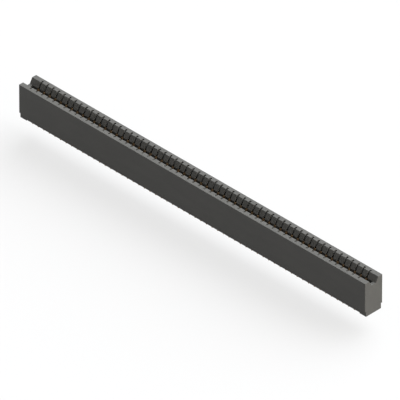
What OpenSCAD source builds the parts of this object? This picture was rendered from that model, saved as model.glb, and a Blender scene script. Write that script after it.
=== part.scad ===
// Card edge connector: a moulded housing with two rows of formed spring contacts.
// X runs along the connector, Y across it and Z up. The origin is midway along
// and across the part, level with the tips of the contact tails.

/* [Contact field] */
// Number of contact positions in each row
positions = 59; // [2:1:59]
// Distance from one contact position to the next
contact_pitch = 2.54; // [2.2:0.02:3.2]
// Distance between the two rows of tails, centre to centre
row_spacing = 3.56; // [3.3:0.02:3.8]

/* [Housing] */
// Width of the housing across the card slot
body_w = 7.7; // [7.4:0.1:9]
// Height of the housing from the underside of its feet to its top
body_h = 12.9; // [11.5:0.1:15]
// Distance from the end of the housing to the centre of the first contact
end_margin = 4.1; // [3.6:0.1:8]
// Thickness of the wall that closes the card slot at each end
end_wall = 1.2; // [0.6:0.1:2]
// Wall left outside each contact cavity
outer_wall = 0.85; // [0.6:0.05:1]
// Height of the narrower skirt at the bottom of the housing
skirt_h = 2; // [1:0.1:3]
// How far the skirt is set back from each long face
skirt_inset = 0.48; // [0.2:0.02:0.6]
// Height of the stand-off foot at each end
foot_h = 0.3; // [0.15:0.05:0.6]
// Length of each stand-off foot
foot_l = 2.85; // [1.5:0.05:3]

/* [Card slot] */
// Width of the slot that takes the card
slot_w = 1.83; // [1.6:0.01:2]
// Depth of the slot below the top of the housing
slot_depth = 8.4; // [7:0.1:9]
// Width of the flat top of each long wall
land_w = 1.8; // [1.6:0.05:2]
// Angle of the lead-in faces, measured from the horizontal
lead_in_angle = 60; // [45:1:62]

/* [Contact cavities] */
// Width of each contact cavity along the housing
cavity_w = 1.14; // [1:0.02:1.4]
// Width of the notch that opens each cavity through the top of the wall
notch_w = 0.7; // [0.5:0.05:0.95]
// Room on each side of the strip in the pocket under a cavity
pocket_clear = 0.45; // [0.2:0.05:0.5]

/* [Contacts] */
// Thickness of the strip that the contacts are formed from
strip_t = 0.3; // [0.2:0.02:0.4]
// Width of the spring part of a contact
spring_w = 0.9; // [0.7:0.02:0.98]
// Width of a contact tail
tail_w = 0.6; // [0.4:0.02:0.68]
// Length of the tails below the feet
tail_l = 1.4; // [0.8:0.1:4]
// Length of the bevelled point of a tail
point_l = 0.35; // [0.2:0.05:0.6]
// Gap between facing contacts when no card is in the slot
crest_gap = 0.94; // [0.6:0.02:1.2]
// Depth of the contact crests below the top of the housing
crest_depth = 3.2; // [2.9:0.1:4]
// Gap between a contact and the outer wall of its cavity
knee_clear = 0.25; // [0.1:0.05:0.4]
// Gap between the tip of a contact and the roof of its cavity
tip_clear = 0.12; // [0.05:0.01:0.3]
// Length of the straight shank above the feet
shank_l = 3.4; // [3:0.1:3.8]
// Height of each retention barb on the shank
barb_h = 0.8; // [0.5:0.05:0.9]
// Inside radius of the bends in the strip
bend_r = 0.6; // [0.3:0.05:0.8]

/* [Hidden] */
housing_colour = [0.27, 0.27, 0.26];
contact_colour = [0.66, 0.49, 0.24];

// Overall sizes and levels, with Z measured from the tail tips
body_l = (positions - 1) * contact_pitch + 2 * end_margin;
half_w = body_w / 2;
seat_z = tail_l;
underside_z = seat_z + foot_h;
skirt_top_z = seat_z + skirt_h;
top_z = seat_z + body_h;
skirt_half_w = half_w - skirt_inset;

// Card slot and its lead-in
slot_half_w = slot_w / 2;
slot_l = body_l - 2 * end_wall;
slot_floor_z = top_z - slot_depth;
mouth_half_w = half_w - land_w;
lead_in_run = mouth_half_w - slot_half_w;
roof_z = top_z - lead_in_run * tan(lead_in_angle);

// Cavities, from the middle of the slot outwards
cavity_reach = half_w - outer_wall;
tail_y = row_spacing / 2;
pocket_in = tail_y - strip_t / 2 - pocket_clear;
pocket_out = tail_y + strip_t / 2 + pocket_clear;
funnel_z = slot_floor_z - (cavity_reach - pocket_out);

// Centre line of a formed contact, as corners that are then rounded
shank_top_z = seat_z + shank_l;
crest_z = top_z - crest_depth;
knee_z = shank_top_z + (crest_z - shank_top_z) * 0.42;
knee_y = cavity_reach - knee_clear - strip_t / 2;
tip_z = roof_z - tip_clear;
centre_r = bend_r + strip_t / 2;
crest_free_y = crest_gap / 2 + strip_t / 2;
spring_lean = atan((knee_y - crest_free_y) / (crest_z - knee_z));
crest_y = crest_free_y - centre_r * (1 / cos(spring_lean) - 1);
tip_rise = tip_z - crest_z + strip_t;
strip_corners = [
    [tail_y, 0],
    [tail_y, shank_top_z],
    [knee_y, knee_z],
    [crest_y, crest_z],
    [crest_y + tip_rise * tan(spring_lean), crest_z + tip_rise]
];
bend_steps = 5;

// Barb levels on the shank and the small flats that grip the cavity
barb_flat = barb_h * 0.35;
first_barb_z = underside_z + barb_h / 2;
second_barb_z = first_barb_z + barb_h * 1.4;
tip_bevel = spring_w * 0.18;

// Overshoot of the cutting shapes past the surfaces that they open
cut = 0.5;

function pair_name(i) = str("contact_pair_", i < 10 ? "0" : "", i);
function pair_x(i) = (i - (positions + 1) / 2) * contact_pitch;

function unit(v) = v / norm(v);
function across(v) = [-v[1], v[0]];
function turn(a, b) = a[0] * b[1] - a[1] * b[0];

// Points of an arc of radius r that rounds the corner b of the path a, b, c
function bend(a, b, c, r) =
    let (
        into = unit(b - a),
        away = unit(c - b),
        side = sign(turn(into, away)),
        angle = acos(into * away),
        start = b - into * r * tan(angle / 2),
        centre = start + across(into) * side * r,
        spoke = start - centre
    )
    [for (k = [0:bend_steps])
        let (t = side * angle * k / bend_steps)
        centre + [spoke[0] * cos(t) - spoke[1] * sin(t), spoke[0] * sin(t) + spoke[1] * cos(t)]
    ];

// A path with every inner corner rounded
function rounded(p, r) = concat(
    [p[0]],
    [for (i = [1:len(p) - 2]) each bend(p[i - 1], p[i], p[i + 1], r)],
    [p[len(p) - 1]]
);

// Direction square to a path at its point i
function path_normal(p, i) = across(unit(
    (i < len(p) - 1 ? unit(p[i + 1] - p[i]) : [0, 0]) + (i > 0 ? unit(p[i] - p[i - 1]) : [0, 0])
));

// Outline of a strip of thickness t that follows a path
function strip_outline(p, t) = concat(
    [for (i = [0:len(p) - 1]) p[i] + path_normal(p, i) * t / 2],
    [for (i = [len(p) - 1:-1:0]) p[i] - path_normal(p, i) * t / 2]
);

// Turns a drawing in Y and Z into a solid of length l, centred on X = 0
module along_x(l) {
    translate([-l / 2, 0, 0])
        rotate([90, 0, 90])
            linear_extrude(height = l)
                children();
}

// Turns a drawing in X and Z into a solid from Y = 0 to Y = l
module along_y(l) {
    translate([0, l, 0])
        rotate([90, 0, 0])
            linear_extrude(height = l)
                children();
}

// Half of the blank's outline: pairs of half width and height, from tail to tip
function blank_edge() = [
    [tail_w / 4, 0],
    [tail_w / 2, point_l],
    [tail_w / 2, first_barb_z - barb_flat],
    [cavity_w / 2, first_barb_z - barb_flat],
    [cavity_w / 2, first_barb_z],
    [spring_w / 2, first_barb_z + barb_h - barb_flat],
    [spring_w / 2, second_barb_z - barb_flat],
    [cavity_w / 2, second_barb_z - barb_flat],
    [cavity_w / 2, second_barb_z],
    [spring_w / 2, second_barb_z + barb_h - barb_flat],
    [spring_w / 2, tip_z - tip_bevel],
    [spring_w / 2 - tip_bevel, tip_z]
];

// Whole outline of the blank, seen square to the long face
module blank() {
    edge = blank_edge();
    polygon(concat(edge, [for (i = [len(edge) - 1:-1:0]) [-edge[i][0], edge[i][1]]]));
}

// One contact of the rear row, formed in Y and Z and trimmed to the blank's outline
module contact() {
    intersection() {
        along_x(cavity_w + 2 * cut)
            polygon(strip_outline(rounded(strip_corners, centre_r), strip_t));
        along_y(half_w)
            blank();
    }
}

// The two facing contacts of position i
module contact_pair(i) {
    color(contact_colour)
        translate([pair_x(i), 0, 0]) {
            contact();
            mirror([0, 1, 0])
                contact();
        }
}

// Cross-section of the housing, with the lead-in groove but not the slot
module housing_section() {
    polygon([
        [-skirt_half_w, underside_z],
        [-skirt_half_w, skirt_top_z],
        [-half_w, skirt_top_z],
        [-half_w, top_z],
        [-mouth_half_w, top_z],
        [-slot_half_w, roof_z],
        [slot_half_w, roof_z],
        [mouth_half_w, top_z],
        [half_w, top_z],
        [half_w, skirt_top_z],
        [skirt_half_w, skirt_top_z],
        [skirt_half_w, underside_z]
    ]);
}

// Section of the two facing cavities, the slot between them and the pockets below
module cavity_section() {
    polygon([
        [-cavity_reach, roof_z],
        [-cavity_reach, slot_floor_z],
        [-pocket_out, funnel_z],
        [-pocket_out, underside_z - cut],
        [-pocket_in, underside_z - cut],
        [-pocket_in, slot_floor_z],
        [pocket_in, slot_floor_z],
        [pocket_in, underside_z - cut],
        [pocket_out, underside_z - cut],
        [pocket_out, funnel_z],
        [cavity_reach, slot_floor_z],
        [cavity_reach, roof_z]
    ]);
}

// The opening of one position: cavities and, above them, the narrow notches
module cavity(i) {
    translate([pair_x(i), 0, 0]) {
        along_x(cavity_w)
            cavity_section();
        translate([-notch_w / 2, -cavity_reach, roof_z - cut])
            cube([notch_w, 2 * cavity_reach, top_z - roof_z + 2 * cut]);
    }
}

// Stand-off foot under one end of the housing
module foot() {
    translate([body_l / 2 - foot_l, -skirt_half_w, seat_z])
        cube([foot_l, 2 * skirt_half_w, foot_h]);
}

module housing() {
    color(housing_colour)
        difference() {
            union() {
                along_x(body_l)
                    housing_section();
                foot();
                mirror([1, 0, 0])
                    foot();
            }
            translate([-slot_l / 2, -slot_half_w, slot_floor_z])
                cube([slot_l, slot_w, slot_depth]);
            for (i = [1:positions]) cavity(i);
        }
}

housing();
for (i = [1:positions])
    contact_pair(i);
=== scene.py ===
import math

import bpy
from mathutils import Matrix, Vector

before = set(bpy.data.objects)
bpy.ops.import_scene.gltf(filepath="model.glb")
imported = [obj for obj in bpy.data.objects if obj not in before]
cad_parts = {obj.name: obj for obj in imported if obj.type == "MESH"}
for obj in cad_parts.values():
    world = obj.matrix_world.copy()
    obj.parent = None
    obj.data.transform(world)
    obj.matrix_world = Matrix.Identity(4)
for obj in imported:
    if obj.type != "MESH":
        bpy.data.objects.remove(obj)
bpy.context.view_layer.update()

MM = 0.001
WHITE = (1, 1, 1, 1)

# Camera: an isometric view through a very long lens. Angles here are in degrees.
CAMERA_AZIMUTH = 45.0
CAMERA_ELEVATION = math.degrees(math.atan(1 / math.sqrt(2)))
CAMERA_AIM = Vector((0.35, 0.0, 6.17)) * MM
CAMERA_DISTANCE = 5.3
CAMERA_CLIP = (CAMERA_DISTANCE / 10, CAMERA_DISTANCE * 4)
LENS_MM = 1500
SENSOR_MM = 36

# Housing: dark grey glass-filled plastic
PLASTIC_DARK = (0.0360, 0.0360, 0.0341)
PLASTIC_LIGHT = (0.0400, 0.0396, 0.0375)
PLASTIC_FIBRE = (0.073, 0.072, 0.067)
PLASTIC_EDGE = (0.053, 0.052, 0.049)
PLASTIC_SPECULAR = 0.25
PLASTIC_ROUGHNESS = (0.46, 0.60)
PLASTIC_EDGE_RADIUS = 0.12 * MM

# Marks in the plastic. The melt ran along X, so flow marks and fibres are drawn out that way.
FLOW_SIZE = 3.2 * MM
FLOW_STRETCH = (0.25, 1, 1)
FIBRE_SIZE = 0.12 * MM
FIBRE_STRETCH = (0.22, 1, 1)
FIBRE_LEVELS = (0.66, 0.74)
FIBRE_STRENGTH = 0.6
GRAIN_SIZE = 0.11 * MM
GRAIN_DEPTH = 0.006 * MM
GRAIN_COARSENESS = 0.6

# Contacts: gold-plated spring strip
GOLD_BRIGHT = (0.36, 0.238, 0.129)
GOLD_DEEP = (0.225, 0.145, 0.080)
GOLD_SHEARED = (0.257, 0.174, 0.103)
GOLD_ROUGHNESS = (0.24, 0.42)
GOLD_EDGE_RADIUS = 0.03 * MM
PATCH_SIZE = 0.8 * MM
DRAWN_LINE_SIZE = 0.045 * MM
DRAWN_LINE_STRETCH = (1, 1, 0.03)
DRAWN_LINE_DEPTH = 0.0015 * MM

# Noise levels between which a colour or a roughness changes over
COLOUR_LEVELS = (0.35, 0.65)
ROUGHNESS_LEVELS = (0.3, 0.7)

# Cosines between the rounded normal and the face's own, from off an edge to on it
EDGE_COSINES = (0.995, 0.85)
EDGE_SAMPLES = 6

# Cosines between a face's normal and an axis, from not facing along it to facing along it
FACING_COSINES = (0.8, 0.95)

# Floor
FLOOR_HALF_SIZE = 1.5
FLOOR_DROP = 6.8 * MM
FLOOR_COLOUR = (0.083, 0.083, 0.083)
FLOOR_GLOW = 0.635
FLOOR_ROUGHNESS = 0.9

# Key light, from behind and above. Its matt share casts no highlights.
KEY_DIRECTION = Vector((0.30, 0.67, 0.82))
KEY_STRENGTH = 3.9
KEY_MATT_STRENGTH = 11.3
KEY_SOFTNESS = 90.0
KEY_COLOUR = (0.98, 1.0, 1.03)

# Warm light on the right end, without highlights
SIDE_DIRECTION = Vector((1.0, 0.0, 0.25))
SIDE_STRENGTH = 3.42
SIDE_SOFTNESS = 60.0
SIDE_COLOUR = (1.0, 0.82, 0.54)

# The room: its brightness overhead and at the horizon, and that of the backdrop
WORLD_UP = 0.88
WORLD_SIDE = 0.09
BACKDROP = 1.0


def new_material(name):
    """A material, its empty node tree and the shader in it."""
    material = bpy.data.materials.new(name)
    material.use_nodes = True
    tree = material.node_tree
    tree.nodes.clear()
    output = tree.nodes.new("ShaderNodeOutputMaterial")
    shader = tree.nodes.new("ShaderNodeBsdfPrincipled")
    tree.links.new(shader.outputs["BSDF"], output.inputs["Surface"])
    return material, tree, shader


def object_place(tree, scale=(1, 1, 1)):
    """Object coordinates multiplied by a scale for each axis."""
    mapping = tree.nodes.new("ShaderNodeMapping")
    mapping.inputs["Scale"].default_value = scale
    place = tree.nodes.new("ShaderNodeTexCoord").outputs["Object"]
    tree.links.new(place, mapping.inputs["Vector"])
    return mapping.outputs["Vector"]


def noise(tree, place, size, detail, roughness=0.5):
    """Noise whose features are about as large as size, in metres."""
    node = tree.nodes.new("ShaderNodeTexNoise")
    node.inputs["Scale"].default_value = 1 / size
    node.inputs["Detail"].default_value = detail
    node.inputs["Roughness"].default_value = roughness
    tree.links.new(place, node.inputs["Vector"])
    return node.outputs["Fac"]


def remap(tree, value, source, target=(0, 1)):
    """The value, moved from one pair of limits onto another and held inside it."""
    node = tree.nodes.new("ShaderNodeMapRange")
    node.inputs["From Min"].default_value = source[0]
    node.inputs["From Max"].default_value = source[1]
    node.inputs["To Min"].default_value = target[0]
    node.inputs["To Max"].default_value = target[1]
    tree.links.new(value, node.inputs["Value"])
    return node.outputs["Result"]


def colour_socket(sockets, name):
    """The colour socket of that name, on a node that uses the name for other types too."""
    return next(socket for socket in sockets if socket.name == name and socket.type == "RGBA")


def mixed(tree, factor, first, second):
    """A colour between first and second. Each is a colour or another node's output."""
    node = tree.nodes.new("ShaderNodeMix")
    node.data_type = "RGBA"
    tree.links.new(factor, node.inputs["Factor"])
    for name, colour in (("A", first), ("B", second)):
        socket = colour_socket(node.inputs, name)
        if isinstance(colour, tuple):
            socket.default_value = (*colour, 1)
        else:
            tree.links.new(colour, socket)
    return colour_socket(node.outputs, "Result")


def rounded_edges(tree, radius):
    """Normal of a surface whose edges are rounded, and how near an edge each point is."""
    bevel = tree.nodes.new("ShaderNodeBevel")
    bevel.samples = EDGE_SAMPLES
    bevel.inputs["Radius"].default_value = radius
    geometry = tree.nodes.new("ShaderNodeNewGeometry")
    dot = tree.nodes.new("ShaderNodeVectorMath")
    dot.operation = "DOT_PRODUCT"
    tree.links.new(bevel.outputs["Normal"], dot.inputs[0])
    tree.links.new(geometry.outputs["True Normal"], dot.inputs[1])
    return bevel.outputs["Normal"], remap(tree, dot.outputs["Value"], EDGE_COSINES)


def bump(tree, height, depth, normal):
    """The normal with a relief of the given depth added to it."""
    node = tree.nodes.new("ShaderNodeBump")
    node.inputs["Strength"].default_value = 1.0
    node.inputs["Distance"].default_value = depth
    tree.links.new(height, node.inputs["Height"])
    tree.links.new(normal, node.inputs["Normal"])
    return node.outputs["Normal"]


def facing_along(tree, axis):
    """1 where the surface faces either way along an axis, and 0 elsewhere."""
    geometry = tree.nodes.new("ShaderNodeNewGeometry")
    parts = tree.nodes.new("ShaderNodeSeparateXYZ")
    tree.links.new(geometry.outputs["True Normal"], parts.inputs[0])
    size = tree.nodes.new("ShaderNodeMath")
    size.operation = "ABSOLUTE"
    tree.links.new(parts.outputs[axis], size.inputs[0])
    return remap(tree, size.outputs["Value"], FACING_COSINES)


def plastic():
    """Moulded dark grey plastic with a fine spark grain, flow marks and glass fibres."""
    material, tree, shader = new_material("housing_plastic")
    flow = noise(tree, object_place(tree, FLOW_STRETCH), FLOW_SIZE, detail=4)
    fibre = noise(tree, object_place(tree, FIBRE_STRETCH), FIBRE_SIZE, detail=1)
    grain = noise(tree, object_place(tree), GRAIN_SIZE, detail=3, roughness=GRAIN_COARSENESS)
    normal, edge = rounded_edges(tree, PLASTIC_EDGE_RADIUS)
    fibre_share = remap(tree, fibre, FIBRE_LEVELS, (0, FIBRE_STRENGTH))
    colour = mixed(tree, remap(tree, flow, COLOUR_LEVELS), PLASTIC_DARK, PLASTIC_LIGHT)
    colour = mixed(tree, fibre_share, colour, PLASTIC_FIBRE)
    colour = mixed(tree, edge, colour, PLASTIC_EDGE)
    rough = remap(tree, grain, ROUGHNESS_LEVELS, PLASTIC_ROUGHNESS)
    tree.links.new(colour, shader.inputs["Base Color"])
    tree.links.new(rough, shader.inputs["Roughness"])
    tree.links.new(bump(tree, grain, GRAIN_DEPTH, normal), shader.inputs["Normal"])
    shader.inputs["Specular IOR Level"].default_value = PLASTIC_SPECULAR
    return material


def gold():
    """Gold plating on formed strip, with lines drawn along it and sheared edges."""
    material, tree, shader = new_material("contact_gold")
    lines = noise(tree, object_place(tree, DRAWN_LINE_STRETCH), DRAWN_LINE_SIZE, detail=2)
    patches = noise(tree, object_place(tree), PATCH_SIZE, detail=3)
    normal, edge = rounded_edges(tree, GOLD_EDGE_RADIUS)
    colour = mixed(tree, remap(tree, patches, COLOUR_LEVELS), GOLD_DEEP, GOLD_BRIGHT)
    colour = mixed(tree, facing_along(tree, "X"), colour, GOLD_SHEARED)
    colour = mixed(tree, edge, colour, GOLD_BRIGHT)
    rough = remap(tree, lines, ROUGHNESS_LEVELS, GOLD_ROUGHNESS)
    tree.links.new(colour, shader.inputs["Base Color"])
    tree.links.new(rough, shader.inputs["Roughness"])
    tree.links.new(bump(tree, lines, DRAWN_LINE_DEPTH, normal), shader.inputs["Normal"])
    shader.inputs["Metallic"].default_value = 1.0
    return material


def dress(names, material):
    """Gives CAD nodes a material in every slot that they have."""
    for name in names:
        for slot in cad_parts[name].material_slots:
            slot.material = material


def make_floor():
    """A floor some way below the tails, whose even glow makes it white and its shadows faint."""
    mesh = bpy.data.meshes.new("floor")
    s, z = FLOOR_HALF_SIZE, -FLOOR_DROP
    mesh.from_pydata([(-s, -s, z), (s, -s, z), (s, s, z), (-s, s, z)], [], [(0, 1, 2, 3)])
    floor = bpy.data.objects.new("floor", mesh)
    bpy.context.scene.collection.objects.link(floor)
    material, _, shader = new_material("floor_paint")
    shader.inputs["Base Color"].default_value = (*FLOOR_COLOUR, 1)
    shader.inputs["Emission Color"].default_value = WHITE
    shader.inputs["Emission Strength"].default_value = FLOOR_GLOW
    shader.inputs["Roughness"].default_value = FLOOR_ROUGHNESS
    shader.inputs["Specular IOR Level"].default_value = 0.0
    mesh.materials.append(material)


def make_light(name, direction, strength, softness, colour, highlights=True):
    """A light from a direction, as wide as the angle softness, with or without highlights."""
    light = bpy.data.lights.new(name, "SUN")
    light.energy = strength
    light.angle = math.radians(softness)
    light.color = colour
    lamp = bpy.data.objects.new(name, light)
    lamp.rotation_mode = "QUATERNION"
    lamp.rotation_quaternion = direction.to_track_quat("Z", "Y")
    lamp.visible_glossy = highlights
    bpy.context.scene.collection.objects.link(lamp)


def make_world():
    """A dim room that is brighter overhead, seen as plain white behind the floor."""
    world = bpy.data.worlds.new("studio")
    world.use_nodes = True
    tree = world.node_tree
    tree.nodes.clear()
    output = tree.nodes.new("ShaderNodeOutputWorld")
    room = tree.nodes.new("ShaderNodeBackground")
    seen = tree.nodes.new("ShaderNodeBackground")
    choice = tree.nodes.new("ShaderNodeMixShader")
    rays = tree.nodes.new("ShaderNodeLightPath")
    parts = tree.nodes.new("ShaderNodeSeparateXYZ")
    direction = tree.nodes.new("ShaderNodeTexCoord").outputs["Generated"]
    tree.links.new(direction, parts.inputs[0])
    brightness = remap(tree, parts.outputs["Z"], (0, 1), (WORLD_SIDE, WORLD_UP))
    tree.links.new(brightness, room.inputs["Strength"])
    room.inputs["Color"].default_value = WHITE
    seen.inputs["Color"].default_value = WHITE
    seen.inputs["Strength"].default_value = BACKDROP
    tree.links.new(rays.outputs["Is Camera Ray"], choice.inputs["Fac"])
    tree.links.new(room.outputs["Background"], choice.inputs[1])
    tree.links.new(seen.outputs["Background"], choice.inputs[2])
    tree.links.new(choice.outputs["Shader"], output.inputs["Surface"])
    bpy.context.scene.world = world


def make_camera():
    """The photograph's view: from the front right and above, through a very long lens."""
    azimuth, elevation = math.radians(CAMERA_AZIMUTH), math.radians(CAMERA_ELEVATION)
    back = Vector((
        math.sin(azimuth) * math.cos(elevation),
        -math.cos(azimuth) * math.cos(elevation),
        math.sin(elevation),
    ))
    data = bpy.data.cameras.new("camera")
    data.lens = LENS_MM
    data.sensor_width = SENSOR_MM
    data.clip_start, data.clip_end = CAMERA_CLIP
    camera = bpy.data.objects.new("camera", data)
    camera.location = CAMERA_AIM + back * CAMERA_DISTANCE
    camera.rotation_mode = "QUATERNION"
    camera.rotation_quaternion = (-back).to_track_quat("-Z", "Y")
    bpy.context.scene.collection.objects.link(camera)
    bpy.context.scene.camera = camera


make_camera()
bpy.context.scene.view_settings.view_transform = "Standard"
make_world()
make_light("key", KEY_DIRECTION, KEY_STRENGTH, KEY_SOFTNESS, KEY_COLOUR)
make_light(
    "key_matt", KEY_DIRECTION, KEY_MATT_STRENGTH, KEY_SOFTNESS, KEY_COLOUR, highlights=False
)
make_light("side", SIDE_DIRECTION, SIDE_STRENGTH, SIDE_SOFTNESS, SIDE_COLOUR, highlights=False)
make_floor()
dress(["housing"], plastic())
dress([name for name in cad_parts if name.startswith("contact_pair_")], gold())
